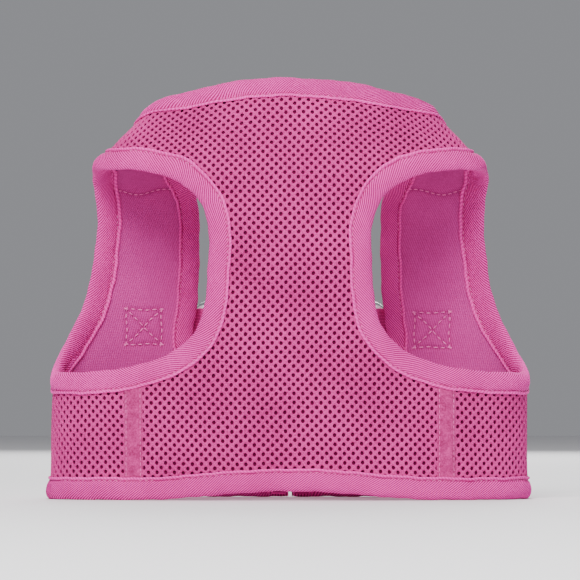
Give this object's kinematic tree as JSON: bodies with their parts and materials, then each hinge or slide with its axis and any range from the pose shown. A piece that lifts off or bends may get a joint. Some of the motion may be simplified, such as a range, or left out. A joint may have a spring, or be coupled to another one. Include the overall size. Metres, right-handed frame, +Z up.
{
  "type": "dog vest harness",
  "caption": "Step-in mesh vest harness for a small dog: padded chest panel with two leg holes, opening back wings, side-release buckle and leash rings.",
  "frame": {"origin": "under the middle of the standing vest, on the plane of its hem", "axes": "+Z up from hem to neck, -Y the way the chest panel faces, +X to the right seen from the chest side"},
  "size_m": [0.216, 0.0874, 0.1895],
  "materials": {
    "air_mesh": "knitted air mesh with open round holes, soft sheen",
    "knit_lining": "smooth brushed jersey knit",
    "binding_tape": "woven twill tape folded over the edge and lockstitched",
    "webbing": "flat woven polyester webbing",
    "ring_metal": "bright nickel-plated welded wire",
    "buckle_plastic": "moulded acetal with a fine satin texture"
  },
  "bodies": {
    "vest": {"front_mesh": "air_mesh", "front_lining": "knit_lining", "left_side_mesh": "air_mesh", "right_side_mesh": "air_mesh", "left_side_lining": "knit_lining", "right_side_lining": "knit_lining", "neck_binding": "binding_tape", "hem_binding": "binding_tape", "left_leg_binding_front": "binding_tape", "right_leg_binding_front": "binding_tape"},
    "left_wing": {"left_wing_mesh": "air_mesh", "left_wing_lining": "knit_lining", "left_leg_binding_back": "binding_tape", "left_back_binding": "binding_tape", "left_hem_binding": "binding_tape", "left_sewn_webbing": "webbing"},
    "right_wing": {"right_wing_mesh": "air_mesh", "right_wing_lining": "knit_lining", "right_leg_binding_back": "binding_tape", "right_back_binding": "binding_tape", "right_hem_binding": "binding_tape", "right_sewn_webbing": "webbing"},
    "left_strap_end": {"left_strap": "webbing", "buckle_socket": "buckle_plastic"},
    "right_strap_end": {"right_strap": "webbing", "buckle_plug": "buckle_plastic"},
    "left_ring": {"left_d_ring": "ring_metal"},
    "right_ring": {"right_d_ring": "ring_metal"},
    "upper_prong": {"upper_prong": "buckle_plastic"},
    "lower_prong": {"lower_prong": "buckle_plastic"},
    "slider": {"strap_slider": "buckle_plastic"}
  },
  "joints": [
    {"name": "left_wing_open", "type": "hinge", "parent": "vest", "child": "left_wing", "pos_m": [-0.108, -0.00532, 0.047], "axis": [0.2446, 0, 0.9696], "range_deg": [0, 45]},
    {"name": "right_wing_open", "type": "hinge", "parent": "vest", "child": "right_wing", "pos_m": [0.108, -0.00532, 0.047], "axis": [0.2446, 0, -0.9696], "range_deg": [0, 45]},
    {"name": "left_strap_flex", "type": "hinge", "parent": "left_wing", "child": "left_strap_end", "pos_m": [-0.0405, 0.03258, 0.077], "axis": [-0.2446, 0, -0.9696], "range_deg": [0, 45]},
    {"name": "right_strap_flex", "type": "hinge", "parent": "right_wing", "child": "right_strap_end", "pos_m": [0.0405, 0.03258, 0.077], "axis": [-0.2446, 0, 0.9696], "range_deg": [0, 45]},
    {"name": "left_ring_swing", "type": "hinge", "parent": "left_strap_end", "child": "left_ring", "pos_m": [-0.035, 0.03258, 0.077], "axis": [0, 0, -1], "range_deg": [-20, 70]},
    {"name": "right_ring_swing", "type": "hinge", "parent": "right_strap_end", "child": "right_ring", "pos_m": [0.035, 0.03258, 0.077], "axis": [0, 0, 1], "range_deg": [-20, 70]},
    {"name": "upper_prong_squeeze", "type": "hinge", "parent": "right_strap_end", "child": "upper_prong", "pos_m": [0.0105, 0.03258, 0.0856], "axis": [0, -1, 0], "range_deg": [0, 8], "stiffness_Nm_per_rad": 0.004, "springref_deg": -5.73},
    {"name": "lower_prong_squeeze", "type": "hinge", "parent": "right_strap_end", "child": "lower_prong", "pos_m": [0.0105, 0.03258, 0.0684], "axis": [0, 1, 0], "range_deg": [0, 8], "stiffness_Nm_per_rad": 0.004, "springref_deg": -5.73},
    {"name": "slider_slide", "type": "slide", "parent": "right_strap_end", "child": "slider", "axis": [1, 0, 0], "range_m": [0, 0.0022]}
  ],
  "couplings": [
    {"joint": "right_wing_open", "follows": "left_wing_open", "ratio": 1},
    {"joint": "left_strap_flex", "follows": "left_wing_open", "ratio": 1},
    {"joint": "right_strap_flex", "follows": "left_wing_open", "ratio": 1}
  ]
}
